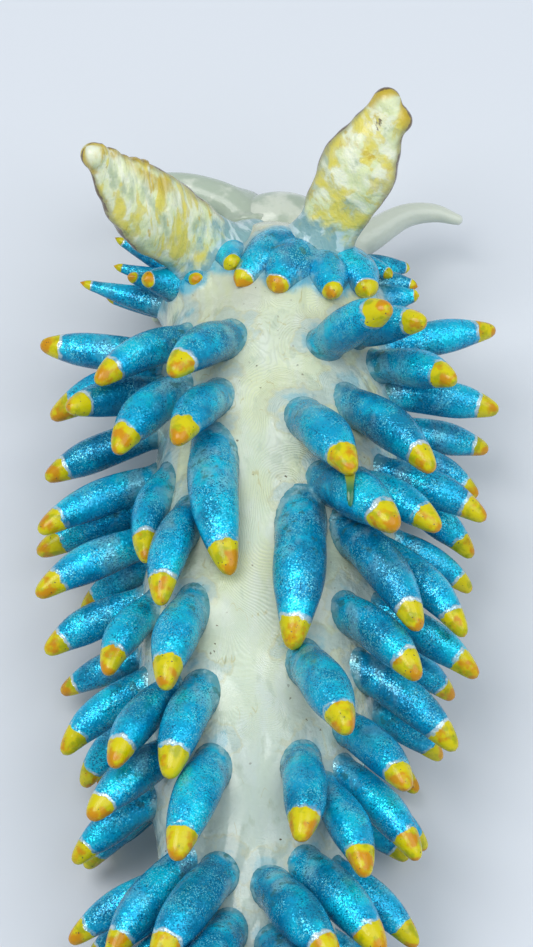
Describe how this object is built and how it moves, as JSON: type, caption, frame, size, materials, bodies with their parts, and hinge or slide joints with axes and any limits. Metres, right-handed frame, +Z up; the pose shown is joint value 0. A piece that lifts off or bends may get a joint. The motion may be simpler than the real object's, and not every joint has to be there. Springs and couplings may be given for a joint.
{
  "type": "painted resin model of a berghia nudibranch",
  "caption": "Display model of a crawling sea slug with flat sole, horned head and finger-like cerata along its back, printed in clear resin and painted blue and yellow.",
  "frame": {"origin": "in the flat sole, on the floor, half way along the body", "axes": "+Y to the head, +Z up from the floor, +X to the slug's right side"},
  "size_m": [0.0977, 0.2766, 0.0639],
  "materials": {
    "body": "clear resin under a gloss varnish, pale greenish ivory on the back and foot, with cerata painted glittery blue and tipped white, yellow and orange",
    "rhinophore": "clear resin, glossy, painted ivory with yellow washes and brown edges",
    "tentacle": "clear resin, frosted, pale grey green"
  },
  "bodies": {
    "root": {"head": "body", "trunk_front": "body", "trunk_rear": "body", "tail": "body", "foot": "body", "foot_corner_left": "body", "foot_corner_right": "body", "rhinophore_left": "rhinophore", "rhinophore_right": "rhinophore", "oral_tentacle_left_root": "tentacle", "oral_tentacle_left_tip": "tentacle", "oral_tentacle_right_root": "tentacle", "oral_tentacle_right_tip": "tentacle"}
  },
  "joints": []
}
